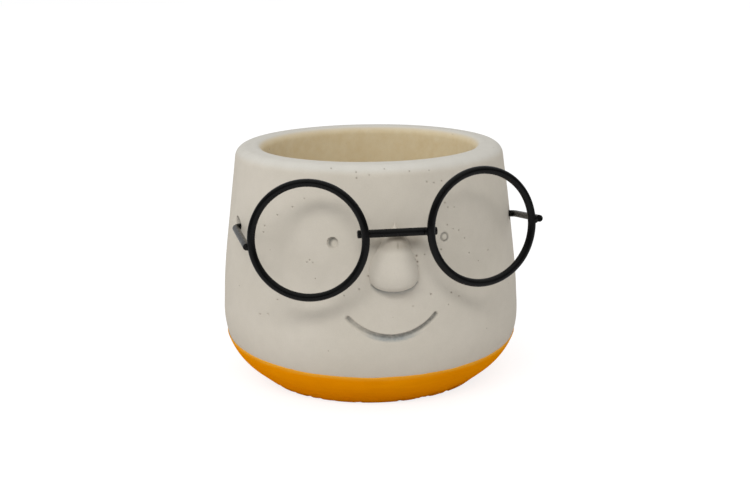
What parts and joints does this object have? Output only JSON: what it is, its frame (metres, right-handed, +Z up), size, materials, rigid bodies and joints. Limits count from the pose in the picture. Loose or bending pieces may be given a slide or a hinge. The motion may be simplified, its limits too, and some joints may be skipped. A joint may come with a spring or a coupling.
{
  "type": "head planter",
  "caption": "Round cast cement pot with a moulded smiling face and a colour-dipped base, wearing round wire spectacles that swing up on their bent ends.",
  "frame": {"origin": "middle of the pot's base, on the surface it stands on", "axes": "+Z up, the face looks along -Y, +X to the viewer's right"},
  "size_m": [0.1198, 0.1279, 0.0949],
  "materials": {
    "cement": "pale cast cement, matte, with fine pinholes",
    "yellow_coat": "orange-yellow dipped paint, satin",
    "black_wire": "black coated steel wire, satin"
  },
  "bodies": {
    "pot": {"cement_pot": "cement", "yellow_dip_coat": "yellow_coat"},
    "glasses": {"left_rim": "black_wire", "right_rim": "black_wire", "bridge_bar": "black_wire", "left_temple": "black_wire", "right_temple": "black_wire", "weld_beads": "black_wire"}
  },
  "joints": [
    {"name": "glasses_swing", "type": "hinge", "parent": "pot", "child": "glasses", "pos_m": [0, -0.0185, 0.066], "axis": [-1, 0, 0], "range_deg": [0, 95]}
  ]
}
